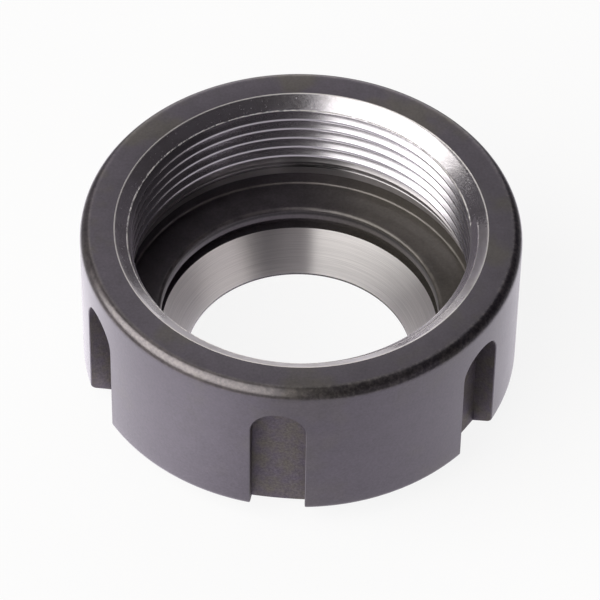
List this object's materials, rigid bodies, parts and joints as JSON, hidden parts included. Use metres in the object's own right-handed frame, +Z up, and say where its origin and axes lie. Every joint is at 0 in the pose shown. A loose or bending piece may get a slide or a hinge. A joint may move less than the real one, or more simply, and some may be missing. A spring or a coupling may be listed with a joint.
{
  "type": "collet nut",
  "caption": "Round clamping nut for a spring collet: internal fine thread, lead-in chamfer, extraction lip, conical seat with a through hole, and round-ended spanner slots in the rim.",
  "frame": {"origin": "centre of the nose face, which is the bottom face as the nut stands", "axes": "+Z up along the nut's axis, out of the threaded mouth; one of the spanner slots lies on -Y"},
  "size_m": [0.05, 0.05, 0.0225],
  "materials": {
    "blackened_steel": "black oxide, satin, with the thread, the lead-in and the seat bare metal"
  },
  "bodies": {
    "root": {"nut_body": "blackened_steel"}
  },
  "joints": []
}
